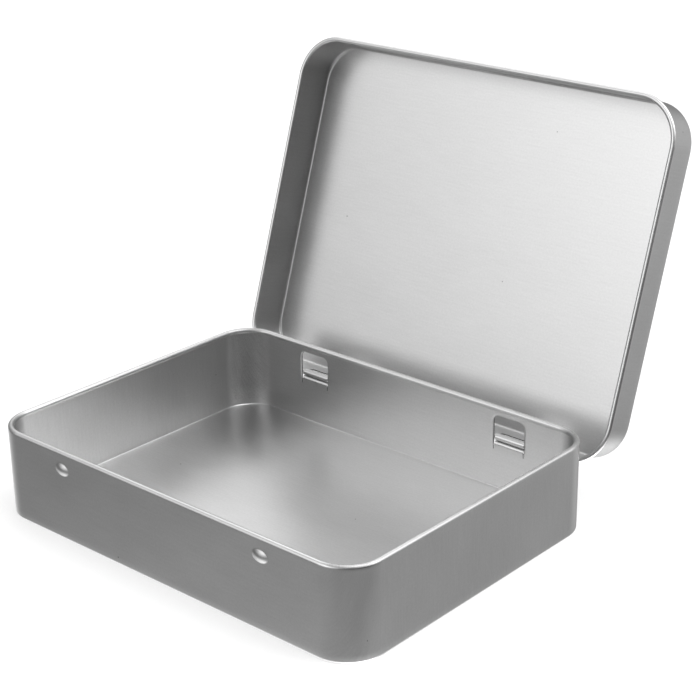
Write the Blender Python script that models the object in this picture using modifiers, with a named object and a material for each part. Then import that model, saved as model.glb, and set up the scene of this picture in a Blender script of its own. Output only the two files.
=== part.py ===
"""Hinged tinplate box: a pressed body with a rolled rim, and a slip-over lid on two curled knuckles.

The origin is the middle of the body's footprint, on the surface it stands on. X runs along the
hinge, the pips are on the -Y wall and the hinge is behind the +Y wall. The lid stands open.
"""
import math

import bmesh
import bpy
from mathutils import Matrix, Vector

MM = 0.001

# Driving dimensions, in metres
SHEET = 0.25 * MM             # tinplate thickness
BODY_LENGTH = 112.0 * MM
BODY_DEPTH = 83.8 * MM
BODY_HEIGHT = 22.3 * MM
BODY_CORNER = 9.3 * MM        # outer corner radius seen from above
BODY_FOLD = 0.4 * MM          # outer radius where the floor turns into the walls
BODY_ROLL = 0.56 * MM         # radius of the body's rim, rolled inwards
LID_HEIGHT = 10.4 * MM
LID_CORNER = 10.1 * MM        # inner corner radius of the lid
LID_FOLD = 0.95 * MM          # outer radius where the lid's panel turns into its skirt
LID_ROLL = 0.62 * MM          # radius of the lid's rim, rolled outwards
LID_END_GAP = 0.36 * MM       # air between the body and the shut lid
LID_TOP_GAP = 0.35 * MM
LID_BACK_GAP = 0.3 * MM
LID_FRONT_GAP = 0.7 * MM      # more air here, where the lid's edge swings inwards as it lifts
OPEN_ANGLE = math.radians(108.3)

HINGE_SPREAD = 31.5 * MM      # from the middle of the box to the middle of each knuckle
WINDOW_WIDTH = 9.1 * MM       # opening in the body's back wall, cut on three sides
WINDOW_DROP = 3.0 * MM        # from the rim down to the window
WINDOW_ROUND = 1.5 * MM
SLIT_WIDTH = 0.2 * MM         # relief cuts beside the root of each flap
SLIT_DEPTH = 1.2 * MM
FLAP_WIDTH = 8.5 * MM         # the window's blank, curled round the lid's rim
FLAP_SHEET = 0.23 * MM        # a hair under the sheet, so that the flap's root lies inside the wall
FLAP_RADIUS = 0.85 * MM       # middle of the sheet to the hinge axis
FLAP_BEND = 0.7 * MM          # bend where the flap leaves the wall
FLAP_WRAP = math.radians(295)
FLAP_ROOT = 0.8 * MM          # length buried in the wall
NOTCH_WIDTH = 9.4 * MM        # cut in the lid's back skirt, clear of the knuckle
NOTCH_START = 0.2 * MM        # above the hinge axis when shut
NOTCH_END = 4.0 * MM
NOTCH_ROUND = 0.6 * MM

PIP_SPREAD = 31.05 * MM       # from the middle of the box to each pip on the front wall
PIP_DROP = 4.35 * MM          # from the rim down to the pip's middle
PIP_RADII = Vector((2.25, 0.6, 1.5)) * MM
PIP_HOLLOW_RADII = Vector((1.95, 0.42, 1.22)) * MM
PIP_SUNK = 0.2 * MM           # the pip's middle lies this far behind the wall's face

CORNER_STEPS = 10             # facets in each quarter turn of the outline
FOLD_STEPS = 3
ROLL_STEP = math.radians(24)
BODY_ROLL_TURN = math.radians(255)
LID_ROLL_TURN = math.radians(270)

# Sizes that follow from them
LID_LENGTH_INSIDE = BODY_LENGTH + 2 * LID_END_GAP
LID_DEPTH_INSIDE = BODY_DEPTH + LID_BACK_GAP + LID_FRONT_GAP
LID_SHIFT = (LID_BACK_GAP - LID_FRONT_GAP) / 2
LID_TOP = BODY_HEIGHT + LID_TOP_GAP + SHEET
HINGE = Vector((0.0, BODY_DEPTH / 2 + LID_BACK_GAP + LID_ROLL, LID_TOP - LID_HEIGHT + LID_ROLL))
WALL_MIDDLE = BODY_DEPTH / 2 - SHEET / 2 - HINGE.y
FLAP_BEND_BOTTOM = -FLAP_RADIUS - FLAP_BEND
CUT_REACH = 2.0 * MM

for old in list(bpy.data.objects):
    bpy.data.objects.remove(old)


def new_collection(name):
    collection = bpy.data.collections.new(name)
    bpy.context.scene.collection.children.link(collection)
    return collection


PARTS = new_collection("tin_box")
TOOLS = new_collection("tin_box_tools")


def arc(centre_x, centre_y, radius, start, turn, steps):
    """Points of a circular arc, both ends included."""
    angles = [start + turn * step / steps for step in range(steps + 1)]
    return [(centre_x + radius * math.cos(a), centre_y + radius * math.sin(a)) for a in angles]


def rounded_outline(length, depth, corner):
    """Counter-clockwise points of a rounded rectangle about the origin."""
    points = []
    for quarter, (side_x, side_y) in enumerate([(1, 1), (-1, 1), (-1, -1), (1, -1)]):
        centre_x = side_x * (length / 2 - corner)
        centre_y = side_y * (depth / 2 - corner)
        start = quarter * math.pi / 2
        points += arc(centre_x, centre_y, corner, start, math.pi / 2, CORNER_STEPS)
    return points


def flat_curve(name, points, cyclic):
    """A flat curve object with straight spans."""
    curve = bpy.data.curves.new(name, "CURVE")
    curve.dimensions = "2D"
    curve.fill_mode = "NONE"
    spline = curve.splines.new("POLY")
    spline.points.add(len(points) - 1)
    for point, (x, y) in zip(spline.points, points):
        point.co = (x, y, 0.0, 1.0)
    spline.use_cyclic_u = cyclic
    curve_object = bpy.data.objects.new(name, curve)
    TOOLS.objects.link(curve_object)
    return curve_object


def swept_skin(name, outline, profile, panel_height):
    """Sweep a profile (inset, height) round the outline, then close the panel inside its first edge."""
    path = flat_curve(name + "_path", outline, True)
    section = flat_curve(name + "_section", profile, False)
    path.data.bevel_mode = "OBJECT"
    path.data.bevel_object = section
    bpy.context.view_layer.update()
    graph = bpy.context.evaluated_depsgraph_get()
    mesh = bpy.data.meshes.new_from_object(path.evaluated_get(graph))
    bpy.data.objects.remove(path)
    bpy.data.objects.remove(section)
    mesh.name = name
    shell = bmesh.new()
    shell.from_mesh(mesh)
    bmesh.ops.remove_doubles(shell, verts=shell.verts, dist=0.001 * MM)
    edges = [
        edge for edge in shell.edges
        if edge.is_boundary and all(abs(v.co.z - panel_height) < 0.01 * MM for v in edge.verts)
    ]
    panel = bmesh.ops.edgeloop_fill(shell, edges=edges)["faces"][0]
    bmesh.ops.recalc_face_normals(shell, faces=shell.faces)
    if panel.normal.z > 0:
        bmesh.ops.reverse_faces(shell, faces=shell.faces)
    shell.to_mesh(mesh)
    shell.free()
    return mesh


def metal(name, colour, roughness):
    """Principled tinplate."""
    material = bpy.data.materials.new(name)
    material.use_nodes = True
    shader = material.node_tree.nodes["Principled BSDF"]
    shader.inputs["Base Color"].default_value = (*colour, 1.0)
    shader.inputs["Metallic"].default_value = 1.0
    shader.inputs["Roughness"].default_value = roughness
    return material


def finish(mesh):
    mesh.shade_smooth()
    mesh.set_sharp_from_angle(angle=math.radians(35))


def pressed_shell(name, mesh, material):
    """A sheet-metal object: the mesh is its visible skin, and Solidify lays the sheet behind it."""
    finish(mesh)
    shell = bpy.data.objects.new(name, mesh)
    shell.data.materials.append(material)
    PARTS.objects.link(shell)
    solidify = shell.modifiers.new("Sheet", "SOLIDIFY")
    solidify.thickness = SHEET
    solidify.offset = -1.0
    solidify.use_even_offset = True
    return shell


def tool(name, mesh):
    """A cutter or an added form, kept out of the model itself."""
    tool_object = bpy.data.objects.new(name, mesh)
    tool_object.display_type = "WIRE"
    tool_object.hide_render = True
    TOOLS.objects.link(tool_object)
    return tool_object


def combine(target, tool_object, operation):
    modifier = target.modifiers.new(tool_object.name, "BOOLEAN")
    modifier.object = tool_object
    modifier.operation = operation
    modifier.solver = "EXACT"


def rounded_block(size, rounding):
    """A block whose edges along Y are rounded, as a new bmesh about its own middle."""
    block = bmesh.new()
    bmesh.ops.create_cube(block, size=1.0, matrix=Matrix.Diagonal((*size, 1.0)))
    along_y = [e for e in block.edges if abs(e.verts[0].co.y - e.verts[1].co.y) > size.y / 2]
    if rounding > 0:
        bmesh.ops.bevel(block, geom=along_y, offset=rounding, segments=4, profile=0.5, affect="EDGES")
    return block


def mesh_from(name, source, offset):
    source.transform(Matrix.Translation(offset))
    mesh = bpy.data.meshes.new(name)
    source.to_mesh(mesh)
    source.free()
    return mesh


def block_tool(name, low, high, rounding=0.0):
    """A cutter between two corners."""
    low = Vector(low)
    high = Vector(high)
    return tool(name, mesh_from(name, rounded_block(high - low, rounding), (low + high) / 2))


def new_egg(radii):
    """An oval ball about the origin."""
    egg = bmesh.new()
    shape = Matrix.Diagonal((*radii, 1.0))
    bmesh.ops.create_uvsphere(egg, u_segments=16, v_segments=10, radius=1.0, matrix=shape)
    return egg


def new_dome(radii, back):
    """The part of an oval ball in front of the plane y = back, closed there."""
    dome = new_egg(radii)
    geometry = dome.verts[:] + dome.edges[:] + dome.faces[:]
    bmesh.ops.bisect_plane(
        dome, geom=geometry, plane_co=(0.0, back, 0.0), plane_no=(0.0, 1.0, 0.0), clear_outer=True,
    )
    bmesh.ops.edgeloop_fill(dome, edges=[edge for edge in dome.edges if edge.is_boundary])
    bmesh.ops.recalc_face_normals(dome, faces=dome.faces)
    return dome


def flap_profile():
    """Middle line of a flap as (y, z) from the hinge axis: up the wall, out, and round the axis."""
    bend_y = WALL_MIDDLE + FLAP_BEND
    points = [(WALL_MIDDLE, FLAP_BEND_BOTTOM - FLAP_ROOT)]
    points += arc(bend_y, FLAP_BEND_BOTTOM, FLAP_BEND, math.pi, -math.pi / 2, FOLD_STEPS)
    steps = round(FLAP_WRAP / ROLL_STEP)
    points += arc(0.0, 0.0, FLAP_RADIUS, -math.pi / 2, FLAP_WRAP, steps)
    return points


def flap_tool(name, centre_x):
    """The window's blank as a curled strip as wide as the knuckle."""
    strip = bmesh.new()
    verts = [
        strip.verts.new((centre_x - FLAP_WIDTH / 2, HINGE.y + y, HINGE.z + z))
        for y, z in flap_profile()
    ]
    edges = [strip.edges.new(pair) for pair in zip(verts, verts[1:])]
    grown = bmesh.ops.extrude_edge_only(strip, edges=edges)["geom"]
    moved = [item for item in grown if isinstance(item, bmesh.types.BMVert)]
    bmesh.ops.translate(strip, verts=moved, vec=(FLAP_WIDTH, 0.0, 0.0))
    bmesh.ops.recalc_face_normals(strip, faces=strip.faces)
    flap = tool(name, mesh_from(name, strip, (0.0, 0.0, 0.0)))
    solidify = flap.modifiers.new("Sheet", "SOLIDIFY")
    solidify.thickness = FLAP_SHEET
    solidify.offset = 0.0
    solidify.use_even_offset = True
    return flap


def body_profile():
    """Outer face of the body: from the floor's edge, up the wall and round the inward roll."""
    steps = round(BODY_ROLL_TURN / ROLL_STEP)
    fold = arc(BODY_FOLD, BODY_FOLD, BODY_FOLD, -math.pi / 2, -math.pi / 2, FOLD_STEPS)
    roll = arc(BODY_ROLL, BODY_HEIGHT - BODY_ROLL, BODY_ROLL, math.pi, -BODY_ROLL_TURN, steps)
    return fold + roll


def lid_profile():
    """Inner face of the lid, as shut: from the panel's edge, down the skirt, round the outward roll."""
    inner_fold = LID_FOLD - SHEET
    steps = round(LID_ROLL_TURN / ROLL_STEP)
    fold = arc(inner_fold, -SHEET - inner_fold, inner_fold, math.pi / 2, math.pi / 2, FOLD_STEPS)
    roll = arc(-LID_ROLL, LID_ROLL - LID_HEIGHT, LID_ROLL, 0.0, -LID_ROLL_TURN, steps)
    return fold + roll


def add_window(body, side):
    """Window, relief slits and curled flap of one knuckle in the body's back wall."""
    name = "left" if side < 0 else "right"
    centre = side * HINGE_SPREAD
    front = BODY_DEPTH / 2 - CUT_REACH
    back = BODY_DEPTH / 2 + CUT_REACH
    root = HINGE.z + FLAP_BEND_BOTTOM
    top = BODY_HEIGHT - WINDOW_DROP
    low = (centre - WINDOW_WIDTH / 2, front, root - WINDOW_ROUND / 2)
    high = (centre + WINDOW_WIDTH / 2, back, top)
    combine(body, block_tool("window_" + name, low, high, WINDOW_ROUND), "DIFFERENCE")
    for edge in (-1, 1):
        middle = centre + edge * (WINDOW_WIDTH - SLIT_WIDTH) / 2
        low = (middle - SLIT_WIDTH / 2, front, root - SLIT_DEPTH)
        high = (middle + SLIT_WIDTH / 2, back, root + WINDOW_ROUND)
        slit = block_tool(f"slit_{name}_{'outer' if edge == side else 'inner'}", low, high)
        combine(body, slit, "DIFFERENCE")
    combine(body, flap_tool("flap_" + name, centre), "UNION")


def add_pip(body, side):
    """Oval pip pressed out of the front wall, hollow behind."""
    name = "left" if side < 0 else "right"
    centre = (side * PIP_SPREAD, -BODY_DEPTH / 2 + PIP_SUNK, BODY_HEIGHT - PIP_DROP)
    dome = mesh_from("pip_" + name, new_dome(PIP_RADII, SHEET / 2 - PIP_SUNK), centre)
    hollow = mesh_from("pip_hollow_" + name, new_egg(PIP_HOLLOW_RADII), centre)
    combine(body, tool(dome.name, dome), "UNION")
    combine(body, tool(hollow.name, hollow), "DIFFERENCE")


def add_notch(lid, side):
    """Cut in the lid's back skirt, in which the body's knuckle turns."""
    name = "left" if side < 0 else "right"
    centre = side * HINGE_SPREAD
    low = (centre - NOTCH_WIDTH / 2, -LID_ROLL - CUT_REACH, NOTCH_START)
    high = (centre + NOTCH_WIDTH / 2, -SHEET / 2, NOTCH_END)
    cutter = block_tool("notch_" + name, low, high, NOTCH_ROUND)
    cutter.parent = lid
    combine(lid, cutter, "DIFFERENCE")


def build_body():
    outline = rounded_outline(BODY_LENGTH, BODY_DEPTH, BODY_CORNER)
    mesh = swept_skin("tin_body", outline, body_profile(), 0.0)
    body = pressed_shell("tin_body", mesh, metal("tinplate_body", (0.55, 0.55, 0.55), 0.34))
    for side in (-1, 1):
        add_window(body, side)
        add_pip(body, side)


def build_lid():
    """The lid's mesh is laid out shut with the hinge axis as its origin, then the object is turned."""
    outline = rounded_outline(LID_LENGTH_INSIDE, LID_DEPTH_INSIDE, LID_CORNER)
    mesh = swept_skin("tin_lid", outline, lid_profile(), -SHEET)
    mesh.transform(Matrix.Translation(Vector((0.0, LID_SHIFT, LID_TOP)) - HINGE))
    lid = pressed_shell("tin_lid", mesh, metal("tinplate_lid", (0.6, 0.6, 0.6), 0.3))
    for side in (-1, 1):
        add_notch(lid, side)
    lid.location = HINGE
    lid.rotation_euler = (-OPEN_ANGLE, 0.0, 0.0)


build_body()
build_lid()
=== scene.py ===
import math

import bmesh
import bpy
import numpy as np
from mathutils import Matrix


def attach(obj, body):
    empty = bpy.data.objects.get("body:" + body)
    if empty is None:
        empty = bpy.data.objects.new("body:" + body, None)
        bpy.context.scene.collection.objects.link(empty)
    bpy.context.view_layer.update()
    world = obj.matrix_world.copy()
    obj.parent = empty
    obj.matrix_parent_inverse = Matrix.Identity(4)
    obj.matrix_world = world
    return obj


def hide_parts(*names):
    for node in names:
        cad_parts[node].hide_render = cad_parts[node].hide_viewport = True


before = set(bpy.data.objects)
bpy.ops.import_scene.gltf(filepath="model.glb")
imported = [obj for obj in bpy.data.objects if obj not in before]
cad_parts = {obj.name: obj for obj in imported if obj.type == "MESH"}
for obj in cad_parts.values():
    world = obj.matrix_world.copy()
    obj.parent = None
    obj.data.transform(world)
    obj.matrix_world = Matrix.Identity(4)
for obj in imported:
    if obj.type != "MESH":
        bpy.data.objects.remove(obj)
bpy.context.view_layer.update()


# Body of the tin
# One blank of 0.25 mm tinplate, deep drawn into a tray with rounded corners. The rim is rolled
# inwards, two pips are pressed out of the front wall, and the back wall has two hinge windows.
# Sizes are in millimetres and angles in degrees.

MM = 0.001
SHEET = 0.25
BODY_LENGTH, BODY_DEPTH, BODY_HEIGHT = 112.0, 83.8, 22.3
BODY_CORNER = 9.3
BODY_FOLD = 0.55
BODY_ROLL, BODY_ROLL_TURN = 0.72, 255.0
PIP_SPREAD, PIP_DROP = 31.05, 4.35
PIP_HALF_WIDTH, PIP_HALF_HEIGHT, PIP_RISE = 2.3, 1.55, 0.48
HINGE_SPREAD = 31.5
WINDOW_WIDTH, WINDOW_DROP, WINDOW_ROUND = 9.1, 3.0, 1.5
WINDOW_BOTTOM = 10.8
DRAW_REACH, DRAW_DEPTH, DRAW_FADE = 0.6, 0.2, 1.5
ON_WALL = 0.001
# Reach and share of the lighter rims and folds: wear on the rims, and a painted highlight on rims and folds.
RIM_RUB_AND_HIGHLIGHT_REACH, FOLD_HIGHLIGHT_REACH, FOLD_HIGHLIGHT = 0.9, 0.5, 0.6
CORNER_RISE = 3.0
QUARTER_STEPS, FOLD_STEPS, ROLL_STEPS = 28, 8, 28
LEAST_ROW_GAP = 0.03
PANEL_SHARES = (0.25, 0.5, 0.75, 0.93)
CREASE = 35.0
TIN_SHADE, TIN_DARK, TIN_LIGHT = 0.3, 0.54, 0.74
BODY_ROUGHNESS = 0.32


def bend(centre, radius, start, turn, steps):
    """Circular arc: centre + radius * (cos a, sin a), with a running evenly from start by turn degrees."""
    angle = np.radians(start + turn * np.linspace(0.0, 1.0, steps + 1))
    return np.asarray(centre) + radius * np.column_stack([np.cos(angle), np.sin(angle)])


def rounded_path(length, depth, corner, front_stops=(), back_stops=()):
    """Rounded rectangle run counter-clockwise, as points and outward normals.

    Each corner is its centre plus the corner radius times the normal, with the normal turning a
    quarter turn. The front and back sides get extra points at the given distances from the middle.
    """
    turn = np.radians(np.linspace(0.0, 90.0, QUARTER_STEPS + 1))
    points, normals = [], []
    for quarter, (side_x, side_y) in enumerate([(1, 1), (-1, 1), (-1, -1), (1, -1)]):
        angle = turn + quarter * math.pi / 2
        normal = np.column_stack([np.cos(angle), np.sin(angle)])
        centre = np.array([side_x * (length / 2 - corner), side_y * (depth / 2 - corner)])
        points.append(centre + corner * normal)
        normals.append(normal)
        for after, stops, way in ((2, front_stops, -1), (0, back_stops, 1)):
            if quarter == after and len(stops):
                stops = -way * np.sort(-way * np.asarray(stops))
                points.append(np.column_stack([stops, np.full(len(stops), way * depth / 2)]))
                normals.append(np.tile([0.0, way], (len(stops), 1)))
    return np.concatenate(points), np.concatenate(normals)


def carry(path, normals, profile):
    """Profile carried along a path: point = path - inset * normal, at the profile's height.

    The result has one row for each point of the profile (inset, height).
    """
    inset = profile[:, 0][:, None, None]
    flat = path[None] - inset * normals[None]
    height = np.broadcast_to(profile[:, 1][:, None, None], flat.shape[:2] + (1,))
    return np.concatenate([flat, height], axis=2)


def with_panel(rows):
    """Rows with the panel inside the first one: rings at middle + share * (edge - middle)."""
    middle = rows[0].mean(axis=0)
    rings = middle + np.array(PANEL_SHARES)[:, None, None] * (rows[0] - middle)[None]
    return np.concatenate([rings, rows])


def skin_mesh(name, rows):
    """Closed rings joined by quads, and the first ring joined to its own middle by a fan."""
    count, around = rows.shape[:2]
    middle = rows[0].mean(axis=0)
    vertices = np.concatenate([rows.reshape(-1, 3), middle[None]])
    here = np.arange(around)
    after = np.roll(here, -1)
    row = (np.arange(count - 1) * around)[:, None]
    quads = np.stack([row + here, row + after, row + around + after, row + around + here], axis=2)
    fan = np.column_stack([np.full(around, count * around), after, here])
    mesh = bpy.data.meshes.new(name)
    mesh.from_pydata((vertices * MM).tolist(), [], quads.reshape(-1, 4).tolist() + fan.tolist())
    return mesh


def smooth(mesh):
    """Shade a mesh smooth but for its creases."""
    mesh.shade_smooth()
    mesh.set_sharp_from_angle(angle=math.radians(CREASE))


def place(name, data):
    """An object at the origin that holds the given mesh or camera."""
    made = bpy.data.objects.new(name, data)
    bpy.context.scene.collection.objects.link(made)
    return made


def pressing(name, rows, material):
    """A sheet drawn over closed rings. Its thickness lies behind them, against their faces' normals."""
    mesh = skin_mesh(name, rows)
    mesh.validate()
    mesh.materials.append(material)
    smooth(mesh)
    made = place(name, mesh)
    sheet = made.modifiers.new("sheet", "SOLIDIFY")
    sheet.thickness, sheet.offset, sheet.use_even_offset = SHEET * MM, -1.0, True
    return made


def press_pips(rows):
    """Raise two oval pips on the front wall: rise * (1 - r^2)^1.2, with r the distance in the oval."""
    across = (np.abs(rows[..., 0]) - PIP_SPREAD) / PIP_HALF_WIDTH
    up = (rows[..., 2] - (BODY_HEIGHT - PIP_DROP)) / PIP_HALF_HEIGHT
    rise = PIP_RISE * (1.0 - np.clip(across**2 + up**2, 0.0, 1.0)) ** 1.2
    on_front = np.abs(rows[..., 1] + BODY_DEPTH / 2) < ON_WALL
    rows[..., 1] -= np.where(on_front, rise, 0.0)


def draw_windows(rows):
    """Draw the back wall outwards round each window, as the punch drags it along.

    With d the distance outside the window's rounded outline, over the reach of the draw, the wall
    moves out by depth * (1 - d) squared. Inside the outline, which is cut away, it moves by depth.
    The move fades out evenly towards the window's lower edge.
    """
    middle = (BODY_HEIGHT - WINDOW_DROP + WINDOW_BOTTOM) / 2
    half_width = WINDOW_WIDTH / 2 - WINDOW_ROUND
    half_height = BODY_HEIGHT - WINDOW_DROP - middle - WINDOW_ROUND
    across = np.maximum(np.abs(np.abs(rows[..., 0]) - HINGE_SPREAD) - half_width, 0.0)
    up = np.maximum(np.abs(rows[..., 2] - middle) - half_height, 0.0)
    outside = np.clip((np.hypot(across, up) - WINDOW_ROUND) / DRAW_REACH, 0.0, 1.0)
    on_back = np.abs(rows[..., 1] - BODY_DEPTH / 2) < ON_WALL
    above_root = np.clip((rows[..., 2] - WINDOW_BOTTOM) / DRAW_FADE, 0.0, 1.0)
    rows[..., 1] += np.where(on_back, DRAW_DEPTH * (1.0 - outside) ** 2 * above_root, 0.0)


def vertices_of(mesh):
    """A mesh's vertices in millimetres, one row each."""
    points = np.empty(len(mesh.vertices) * 3)
    mesh.vertices.foreach_get("co", points)
    return points.reshape(-1, 3) / MM


def lay_grain(mesh, points, length, depth, corner, height, drawn_within):
    """Three attributes for the finish, from points (x, y, distance from the panel) on the pressing.

    "blank" is where the point lay on the flat blank: its place plus its distance from the panel times
    the outward direction of the nearest side or corner. The second, for the rims and folds, is the sum
    of exp(-distance / reach) from the rim and, where the panel meets its wall, a share of the same from
    the fold; it marks wear on the rims and a painted highlight on rims and folds. The third, "drawn",
    is three times the product of the outward direction's parts, up to 1, where the sheet was squeezed
    into a corner; it marks the corners' duller finish and their painted shade. It rises over the first
    millimetres from the panel, and only within the given distance of the corner's centre.
    """
    inner = np.array([length / 2 - corner, depth / 2 - corner])
    flat, deep = points[:, :2], points[:, 2]
    away = flat - np.clip(flat, -inner, inner)
    distance = np.linalg.norm(away, axis=1)
    outward = away / np.maximum(distance, 0.001)[:, None]
    blank = np.column_stack([flat + outward * deep[:, None], np.zeros(len(flat))]) * MM
    # Rims and folds: wear, and a painted highlight in the tone.
    by_rim = np.exp(-np.abs(height - deep) / RIM_RUB_AND_HIGHLIGHT_REACH)
    by_fold = np.exp(-np.abs(deep) / FOLD_HIGHLIGHT_REACH) * (distance > corner / 2)
    rub_and_highlight = np.clip(by_rim + FOLD_HIGHLIGHT * by_fold, 0.0, 1.0)
    # Drawn corners: a duller finish, and painted shade in the tone.
    drawn = np.clip(3 * np.abs(outward[:, 0] * outward[:, 1]), 0.0, 1.0) * np.clip(deep / CORNER_RISE, 0.0, 1.0)
    drawn *= distance < drawn_within
    mesh.attributes.new("blank", "FLOAT_VECTOR", "POINT").data.foreach_set("vector", blank.ravel())
    mesh.attributes.new("rub_and_highlight", "FLOAT", "POINT").data.foreach_set("value", rub_and_highlight)
    mesh.attributes.new("drawn", "FLOAT", "POINT").data.foreach_set("value", drawn)


def grey(level):
    """A grey as red, green, blue and alpha."""
    return level, level, level, 1.0


def new_finish(name):
    """A new material, with its nodes, its links and its shader."""
    material = bpy.data.materials.new(name)
    material.use_nodes = True
    tree = material.node_tree
    return material, tree.nodes, tree.links, tree.nodes["Principled BSDF"]


def relief(nodes, links, height, depth, over=None):
    """Relief of the given depth in millimetres, laid over another where one is given."""
    bump = nodes.new("ShaderNodeBump")
    bump.inputs["Distance"].default_value = depth * MM
    links.new(height, bump.inputs["Height"])
    if over:
        links.new(over, bump.inputs["Normal"])
    return bump.outputs["Normal"]


def satin_tinplate(name, roughness):
    """Satin tinplate: rolling grain and speckle a few tenths of a millimetre wide, a cloudy mottle of
    the tin, sparse pinhead specks, and a slight wave of the sheet. Rims and folds are softer and
    lighter, the lighter colour being wear on the rims and a painted highlight on rims and folds. The
    insides of the drawn corners are duller and darker, the darker colour being painted shade.
    """
    material, nodes, links, shader = new_finish(name)
    shader.inputs["Metallic"].default_value = 1.0

    def attribute(word):
        node = nodes.new("ShaderNodeAttribute")
        node.attribute_name = word
        return node.outputs["Vector" if word == "blank" else "Fac"]

    def noise(per_metre, stretch=(1.0, 1.0, 1.0), detail=2.0):
        mapping = nodes.new("ShaderNodeMapping")
        mapping.inputs["Scale"].default_value = stretch
        links.new(blank, mapping.inputs["Vector"])
        node = nodes.new("ShaderNodeTexNoise")
        node.inputs["Scale"].default_value = per_metre
        node.inputs["Detail"].default_value = detail
        links.new(mapping.outputs["Vector"], node.inputs["Vector"])
        return node.outputs["Fac"]

    def sparse_dots(per_metre, outer, inner, least_chance):
        cells = nodes.new("ShaderNodeTexVoronoi")
        cells.inputs["Scale"].default_value = per_metre
        links.new(blank, cells.inputs["Vector"])
        dot = nodes.new("ShaderNodeMapRange")
        dot.inputs["From Min"].default_value, dot.inputs["From Max"].default_value = outer, inner
        links.new(cells.outputs["Distance"], dot.inputs["Value"])
        chance = nodes.new("ShaderNodeSeparateColor")
        links.new(cells.outputs["Color"], chance.inputs["Color"])
        few = nodes.new("ShaderNodeMath")
        few.operation = "GREATER_THAN"
        few.inputs[1].default_value = least_chance
        links.new(chance.outputs["Red"], few.inputs[0])
        kept = nodes.new("ShaderNodeMath")
        kept.operation = "MULTIPLY"
        links.new(dot.outputs["Result"], kept.inputs[0])
        links.new(few.outputs["Value"], kept.inputs[1])
        return kept.outputs["Value"]

    def sum_of(start, *shares):
        total = start
        for source, share in shares:
            step = nodes.new("ShaderNodeMath")
            step.operation = "MULTIPLY_ADD"
            links.new(source, step.inputs[0])
            step.inputs[1].default_value = share
            if isinstance(total, float):
                step.inputs[2].default_value = total
            else:
                links.new(total, step.inputs[2])
            total = step.outputs["Value"]
        return total

    blank, rub_and_highlight, drawn = attribute("blank"), attribute("rub_and_highlight"), attribute("drawn")
    grain = noise(2200.0, stretch=(0.06, 1.0, 1.0), detail=3.0)
    speckle = noise(1900.0)
    mottle = noise(75.0, stretch=(0.5, 1.0, 1.0), detail=4.0)
    wave = noise(28.0, detail=0.0)
    pinhead = sparse_dots(150.0, outer=0.035, inner=0.02, least_chance=0.9)

    cloud = ((grain, 0.25), (speckle, 0.32), (mottle, 0.27))
    # Lighter at rims and folds as wear and painted highlight; darker in the drawn corners as painted shade.
    tone = sum_of(0.16, *cloud, (rub_and_highlight, 0.15), (drawn, -0.5), (pinhead, -0.9))
    colour = nodes.new("ShaderNodeValToRGB")
    colour.color_ramp.elements[0].color = grey(TIN_SHADE)
    colour.color_ramp.elements.new(0.3).color = grey(TIN_DARK)
    colour.color_ramp.elements[2].color = grey(TIN_LIGHT)
    links.new(tone, colour.inputs["Fac"])
    links.new(colour.outputs["Color"], shader.inputs["Base Color"])

    # Half of what grain and mottle add at most is taken off first, which leaves the mean as given.
    least = roughness - 0.06
    gloss = sum_of(least, (grain, 0.05), (mottle, 0.07), (rub_and_highlight, 0.05), (drawn, 0.12), (pinhead, 0.2))
    links.new(gloss, shader.inputs["Roughness"])

    fine = relief(nodes, links, sum_of(0.0, (grain, 0.7), (speckle, 0.5), (pinhead, -1.0)), 0.0016)
    links.new(relief(nodes, links, wave, 0.05, over=fine), shader.inputs["Normal"])
    return material


def bare_steel_and_shade():
    """Cut edge of the sheet, where the punch leaves bare steel with a fine torn grain. Its near-black colour is
    partly the steel's own and partly painted shade of the gaps along the cuts.
    """
    material, nodes, links, shader = new_finish("cut_steel_and_shade")
    shader.inputs["Metallic"].default_value = 1.0
    torn = nodes.new("ShaderNodeTexNoise")
    torn.inputs["Scale"].default_value = 6000.0
    links.new(nodes.new("ShaderNodeTexCoord").outputs["Object"], torn.inputs["Vector"])
    colour = nodes.new("ShaderNodeValToRGB")
    # Near black: the steel's own grey, darkened further as painted shade.
    colour.color_ramp.elements[0].color = grey(0.05)
    colour.color_ramp.elements[1].color = grey(0.16)
    links.new(torn.outputs["Fac"], colour.inputs["Fac"])
    links.new(colour.outputs["Color"], shader.inputs["Base Color"])
    gloss = nodes.new("ShaderNodeMapRange")
    gloss.inputs["To Min"].default_value, gloss.inputs["To Max"].default_value = 0.4, 0.6
    links.new(torn.outputs["Fac"], gloss.inputs["Value"])
    links.new(gloss.outputs["Result"], shader.inputs["Roughness"])
    links.new(relief(nodes, links, torn.outputs["Fac"], 0.01), shader.inputs["Normal"])
    return material


# Rows and columns lie close together only where a pip or a window needs them. The rings run up the
# outer face, so the sheet's thickness lies inside them.
oval = np.concatenate([[-1.5, -1.2], np.linspace(-1.05, 1.05, 31), [1.2, 1.5]])
front_stops = np.concatenate([PIP_HALF_WIDTH * oval - PIP_SPREAD, PIP_HALF_WIDTH * oval + PIP_SPREAD])
edge = np.linspace(-WINDOW_ROUND, DRAW_REACH, 20)
edge = np.concatenate([[-WINDOW_ROUND - 1.0], edge, [DRAW_REACH + 0.15, DRAW_REACH + 0.6]]) + WINDOW_WIDTH / 2
back_stops = np.concatenate([side * HINGE_SPREAD + way * edge for side in (-1, 1) for way in (-1, 1)])
path, normals = rounded_path(BODY_LENGTH, BODY_DEPTH, BODY_CORNER, front_stops, back_stops)
plain_rows = [2.0, 6.0, 20.4, 21.0]
root_rows = np.linspace(10.0, 16.0, 13)
pip_rows = BODY_HEIGHT - PIP_DROP + PIP_HALF_HEIGHT * oval
window_rows = BODY_HEIGHT - WINDOW_DROP + np.linspace(-WINDOW_ROUND, DRAW_REACH, 16)
wall_rows = np.concatenate([plain_rows, root_rows, pip_rows, window_rows])
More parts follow.
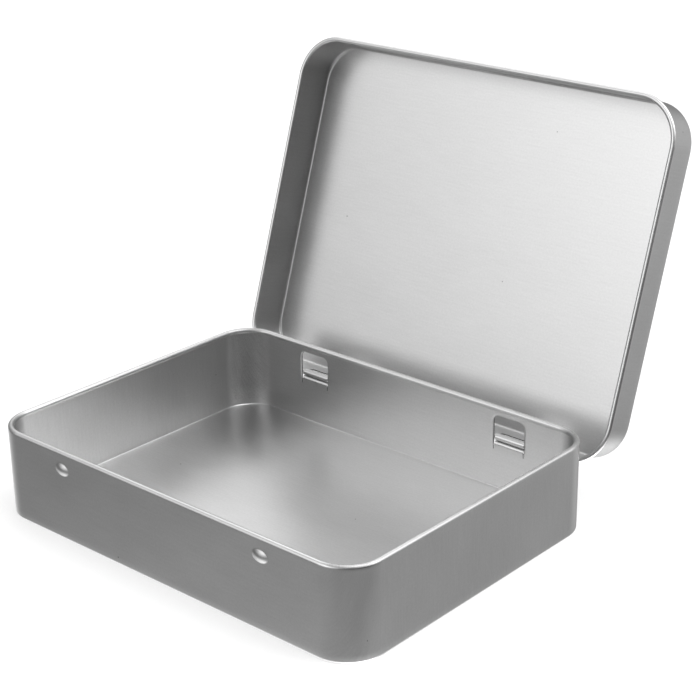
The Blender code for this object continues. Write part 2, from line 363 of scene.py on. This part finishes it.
wall_rows = wall_rows[wall_rows < BODY_HEIGHT - BODY_ROLL - 0.1]
wall_rows = np.unique(np.round(wall_rows, 3))
wall_rows = wall_rows[np.append(True, np.diff(wall_rows) > LEAST_ROW_GAP)]
profile = np.concatenate([
    bend((BODY_FOLD, BODY_FOLD), BODY_FOLD, -90.0, -90.0, FOLD_STEPS),
    np.column_stack([np.zeros(len(wall_rows)), wall_rows]),
    bend((BODY_ROLL, BODY_HEIGHT - BODY_ROLL), BODY_ROLL, 180.0, -BODY_ROLL_TURN, ROLL_STEPS),
])
rows = carry(path, normals, profile)
press_pips(rows)
draw_windows(rows)
cut_steel_and_shade = bare_steel_and_shade()
body_tin = satin_tinplate("body_tin", BODY_ROUGHNESS)
body = pressing("body_pressing", with_panel(rows), body_tin)


# Knuckles
# The blank of each window, of the same sheet, stays joined to the wall at its lower edge. It is bent
# out of the wall and curled round the lid's rim, which turns in it. It is laid here a hair thinner
# than the sheet, so that its root lies inside the wall.

LID_HEIGHT = 10.4
LID_ROLL, LID_ROLL_TURN = 0.62, 270.0
LID_BACK_GAP, LID_TOP_GAP = 0.3, 0.35
LID_TOP = BODY_HEIGHT + LID_TOP_GAP + SHEET
HINGE_Y = BODY_DEPTH / 2 + LID_BACK_GAP + LID_ROLL
HINGE_Z = LID_TOP - LID_HEIGHT + LID_ROLL
SLIT_WIDTH, SLIT_DEPTH, SLIT_ROUND = 0.2, 1.2, 0.08
FLAP_WIDTH, FLAP_SHEET, FLAP_RADIUS, FLAP_BEND = 8.5, 0.23, 0.85, 0.7
FLAP_WRAP, FLAP_STEPS, FLAP_ROOT = 295.0, 44, 0.8
WALL_MIDDLE = BODY_DEPTH / 2 - SHEET / 2 - HINGE_Y
BEND_BOTTOM = -FLAP_RADIUS - FLAP_BEND
PUNCH_REACH = 2.0


def closed_solid(name, points, faces, material):
    """A closed solid from points in millimetres, its doubles merged and its faces turned outwards."""
    mesh = bpy.data.meshes.new(name)
    mesh.from_pydata((points * MM).tolist(), [], faces)
    shape = bmesh.new()
    shape.from_mesh(mesh)
    bmesh.ops.remove_doubles(shape, verts=shape.verts, dist=0.002 * MM)
    bmesh.ops.recalc_face_normals(shape, faces=shape.faces)
    shape.to_mesh(mesh)
    shape.free()
    mesh.materials.append(material)
    return place(name, mesh)


def punch(name, low, high, rounding):
    """Punch between two corners: a rounded rectangle in X and Z, carried along Y, in the cut-edge steel, whose
    near-black colour is partly painted shade.
    """
    low, high = np.asarray(low), np.asarray(high)
    width, thick, height = high - low
    outline, _ = rounded_path(width, height, rounding)
    count = len(outline)
    near = np.column_stack([outline[:, 0], np.full(count, -thick / 2), outline[:, 1]])
    far = near * [1.0, -1.0, 1.0]
    here = np.arange(count)
    after = np.roll(here, -1)
    sides = np.column_stack([here, after, after + count, here + count]).tolist()
    caps = [here[::-1].tolist(), (here + count).tolist()]
    return closed_solid(name, np.concatenate([near, far]) + (low + high) / 2, sides + caps, cut_steel_and_shade)


def curled_flap(name, centre):
    """A strip of sheet carried across X: its middle line with half the sheet laid on each side.

    The middle line rises in the wall, bends outwards by a quarter turn and curls round the hinge.
    """
    line = np.concatenate([
        [[WALL_MIDDLE, BEND_BOTTOM - FLAP_ROOT]],
        bend((WALL_MIDDLE + FLAP_BEND, BEND_BOTTOM), FLAP_BEND, 180.0, -90.0, FOLD_STEPS),
        bend((0.0, 0.0), FLAP_RADIUS, -90.0, FLAP_WRAP, FLAP_STEPS)[1:],
    ])
    along = np.gradient(line, axis=0)
    along /= np.linalg.norm(along, axis=1)[:, None]
    aside = np.column_stack([along[:, 1], -along[:, 0]]) * FLAP_SHEET / 2
    section = np.concatenate([line + aside, (line - aside)[::-1]]) + [HINGE_Y, HINGE_Z]
    count = len(section)
    ends = (centre - FLAP_WIDTH / 2, centre + FLAP_WIDTH / 2)
    points = np.concatenate([np.column_stack([np.full(count, x), section]) for x in ends])
    here = np.arange(count)
    after = np.roll(here, -1)
    walls = np.column_stack([here, after, after + count, here + count])
    step = np.arange(len(line) - 1)
    end = np.column_stack([step, step + 1, count - 2 - step, count - 1 - step])
    faces = np.concatenate([walls, end, end[:, ::-1] + count]).tolist()
    return closed_solid(name, points, faces, body_tin)


def punched(blank, tools):
    """Cut and join the tools, each (object, operation), and keep the result as one plain mesh."""
    for shape, operation in tools:
        cut = blank.modifiers.new(shape.name, "BOOLEAN")
        cut.object, cut.operation, cut.solver, cut.material_mode = shape, operation, "EXACT", "TRANSFER"
    bpy.context.view_layer.update()
    mesh = bpy.data.meshes.new_from_object(blank.evaluated_get(bpy.context.evaluated_depsgraph_get()))
    blank.modifiers.clear()
    blank.data = mesh
    smooth(mesh)
    for shape, _ in tools:
        bpy.data.objects.remove(shape)


tools = []
root = HINGE_Z + BEND_BOTTOM
near, far = BODY_DEPTH / 2 - PUNCH_REACH, BODY_DEPTH / 2 + PUNCH_REACH
for side, word in ((-1, "left"), (1, "right")):
    middle = side * HINGE_SPREAD
    low = (middle - WINDOW_WIDTH / 2, near, WINDOW_BOTTOM)
    high = (middle + WINDOW_WIDTH / 2, far, BODY_HEIGHT - WINDOW_DROP)
    tools.append((punch("window_" + word, low, high, WINDOW_ROUND), "DIFFERENCE"))
    for way in (-1, 1):
        slit = middle + way * (WINDOW_WIDTH - SLIT_WIDTH) / 2
        low = (slit - SLIT_WIDTH / 2, near, root - SLIT_DEPTH)
        high = (slit + SLIT_WIDTH / 2, far, root + WINDOW_ROUND)
        tools.append((punch(f"slit_{word}_{way}", low, high, SLIT_ROUND), "DIFFERENCE"))
    tools.append((curled_flap("flap_" + word, middle), "UNION"))
punched(body, tools)
body_points = vertices_of(body.data)
lay_grain(body.data, body_points, BODY_LENGTH, BODY_DEPTH, BODY_CORNER, BODY_HEIGHT, BODY_CORNER - SHEET / 2)
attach(body, "body")
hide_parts("tin_body")


# Lid
# One blank of the same tinplate, drawn to a shallow cap with its rim rolled outwards. Two notches in
# its back skirt leave the rolled rim free where the knuckles hold it.

OPEN_ANGLE = math.radians(108.3)
LID_END_GAP, LID_FRONT_GAP = 0.36, 0.7
LID_LENGTH_INSIDE = BODY_LENGTH + 2 * LID_END_GAP
LID_DEPTH_INSIDE = BODY_DEPTH + LID_BACK_GAP + LID_FRONT_GAP
LID_SHIFT = (LID_BACK_GAP - LID_FRONT_GAP) / 2
LID_CORNER = 10.1
LID_FOLD = 0.95
LID_ROUGHNESS = 0.34
NOTCH_WIDTH, NOTCH_START, NOTCH_END, NOTCH_ROUND = 9.4, 0.2, 3.1, 0.6


def opened(mesh):
    """Turn a mesh laid out shut about the hinge by the open angle, then put the hinge in its place."""
    x, y, z = vertices_of(mesh).T
    c, s = math.cos(OPEN_ANGLE), math.sin(OPEN_ANGLE)
    turned = np.column_stack([x, HINGE_Y + c * y + s * z, HINGE_Z - s * y + c * z])
    mesh.vertices.foreach_set("co", (turned * MM).ravel())
    mesh.update()


# The rings run down the inner face, so the thickness lies outside them. The lid is laid out shut with
# its hinge at the origin, is cut there, and is opened last.
path, normals = rounded_path(LID_LENGTH_INSIDE, LID_DEPTH_INSIDE, LID_CORNER)
inner_fold = LID_FOLD - SHEET
skirt = np.linspace(-SHEET - inner_fold, LID_ROLL - LID_HEIGHT, 6)[1:-1]
profile = np.concatenate([
    bend((inner_fold, -SHEET - inner_fold), inner_fold, 90.0, 90.0, FOLD_STEPS),
    np.column_stack([np.zeros(len(skirt)), skirt]),
    bend((-LID_ROLL, LID_ROLL - LID_HEIGHT), LID_ROLL, 0.0, -LID_ROLL_TURN, ROLL_STEPS),
])
rows = with_panel(carry(path, normals, profile)) + [0.0, LID_SHIFT - HINGE_Y, LID_TOP - HINGE_Z]
lid_tin = satin_tinplate("lid_tin", LID_ROUGHNESS)
lid = pressing("lid_pressing", rows, lid_tin)
tools = []
for side, word in ((-1, "left"), (1, "right")):
    middle = side * HINGE_SPREAD
    low = (middle - NOTCH_WIDTH / 2, -LID_ROLL - PUNCH_REACH, NOTCH_START)
    high = (middle + NOTCH_WIDTH / 2, -SHEET / 2, NOTCH_END)
    tools.append((punch("notch_" + word, low, high, NOTCH_ROUND), "DIFFERENCE"))
punched(lid, tools)
shut = vertices_of(lid.data)
lid_points = np.column_stack([shut[:, 0], shut[:, 1] + HINGE_Y - LID_SHIFT, LID_TOP - HINGE_Z - shut[:, 2]])
lay_grain(lid.data, lid_points, LID_LENGTH_INSIDE, LID_DEPTH_INSIDE, LID_CORNER, LID_HEIGHT, 0.0)
opened(lid.data)
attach(lid, "lid")
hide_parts("tin_lid")


# Table
# A plain pale painted top that the tin stands on, and that glows a little. It neither shades the tin
# nor shows in it: the soft lights below it stand in for what it would throw back.

TABLE_REACH = 3000.0
TABLE_GREY, TABLE_ROUGHNESS, TABLE_GLOW = 0.5, 0.9, 0.5

table_corners = np.array([[-1, -1, 0], [1, -1, 0], [1, 1, 0], [-1, 1, 0]]) * TABLE_REACH * MM
table_mesh = bpy.data.meshes.new("table")
table_mesh.from_pydata(table_corners.tolist(), [], [(0, 1, 2, 3)])
table_paint, _, _, paint = new_finish("table_paint")
paint.inputs["Base Color"].default_value = grey(TABLE_GREY)
paint.inputs["Roughness"].default_value = TABLE_ROUGHNESS
paint.inputs["Emission Color"].default_value = grey(1.0)
paint.inputs["Emission Strength"].default_value = TABLE_GLOW
table_mesh.materials.append(table_paint)
table = place("table", table_mesh)
table.visible_glossy = False
table.visible_diffuse = False
table.visible_shadow = False


# Camera
# It stands before the tin's right front corner and looks down on it. Its place is in body lengths
# from the middle of the tin's foot, its turns are in radians, and its focal length and the column
# that it looks along are in pixels of the render.

CAMERA_AT = np.array([2.2550, -2.3098, 1.6857]) * BODY_LENGTH * MM
CAMERA_YAW, CAMERA_PITCH, CAMERA_ROLL = 0.6943, 0.3869, 0.0001
PICTURE, FOCAL, CENTRE_X = 700.0, 1722.56, 415.0
FILM_WIDTH = 36.0

camera_data = bpy.data.cameras.new("camera")
camera_data.sensor_width = FILM_WIDTH
camera_data.lens = FOCAL * FILM_WIDTH / PICTURE
camera_data.shift_x = (PICTURE / 2 - CENTRE_X) / PICTURE
camera = place("camera", camera_data)
camera.location = CAMERA_AT
camera.rotation_euler = (math.pi / 2 - CAMERA_PITCH, -CAMERA_ROLL, CAMERA_YAW)
bpy.context.scene.camera = camera


# Soft lights
# Broad soft boxes hang all round the tin, and more lie below it in place of the bright table. Each
# has an azimuth and an elevation, a sharpness and a strength, and adds strength * exp(sharpness *
# (cosine of the angle from its middle - 1)).

LIGHTS_ABOVE = (
    (-109.0, 33.0, 14.0, 1.8),
    (16.0, 68.0, 14.0, 5.0),
    (29.0, 35.0, 14.0, 2.85),
    (134.0, 47.0, 14.0, 2.3),
    (-97.0, 10.0, 14.0, 1.3),
    (-129.0, 19.0, 14.0, 0.7),
    (-174.0, 55.0, 14.0, 0.85),
    (178.0, 14.0, 14.0, 0.3),
    (-44.0, 15.0, 14.0, 0.15),
    (80.0, 23.0, 14.0, 0.5),
)
LIGHTS_BELOW = (
    (53.0, -9.0, 14.0, 0.44),
    (86.0, -17.0, 14.0, 0.6),
    (151.0, -35.0, 14.0, 1.5),
    (-177.0, -45.0, 14.0, 0.4),
    (26.0, -73.0, 14.0, 5.8),
    (-144.0, -58.0, 14.0, 0.8),
    (-59.0, -65.0, 14.0, 0.9),
    (-112.0, -80.0, 6.0, 1.1),
)

studio = bpy.data.worlds.new("studio")
studio.use_nodes = True
nodes, links = studio.node_tree.nodes, studio.node_tree.links
towards = nodes.new("ShaderNodeTexCoord").outputs["Generated"]
glow = None
for azimuth, elevation, sharpness, strength in LIGHTS_ABOVE + LIGHTS_BELOW:
    round_z, up = math.radians(azimuth), math.radians(elevation)
    middle = (math.cos(round_z) * math.cos(up), math.sin(round_z) * math.cos(up), math.sin(up))
    facing = nodes.new("ShaderNodeVectorMath")
    facing.operation = "DOT_PRODUCT"
    facing.inputs[1].default_value = middle
    links.new(towards, facing.inputs[0])
    fall = nodes.new("ShaderNodeMath")
    fall.operation = "MULTIPLY_ADD"
    fall.inputs[1].default_value, fall.inputs[2].default_value = sharpness, -sharpness
    links.new(facing.outputs["Value"], fall.inputs[0])
    lobe = nodes.new("ShaderNodeMath")
    lobe.operation = "EXPONENT"
    links.new(fall.outputs["Value"], lobe.inputs[0])
    added = nodes.new("ShaderNodeMath")
    added.operation = "MULTIPLY_ADD"
    added.inputs[1].default_value, added.inputs[2].default_value = strength, 0.0
    links.new(lobe.outputs["Value"], added.inputs[0])
    if glow:
        links.new(glow, added.inputs[2])
    glow = added.outputs["Value"]
links.new(glow, nodes["Background"].inputs["Color"])
bpy.context.scene.world = studio
bpy.context.scene.view_settings.view_transform = "Standard"
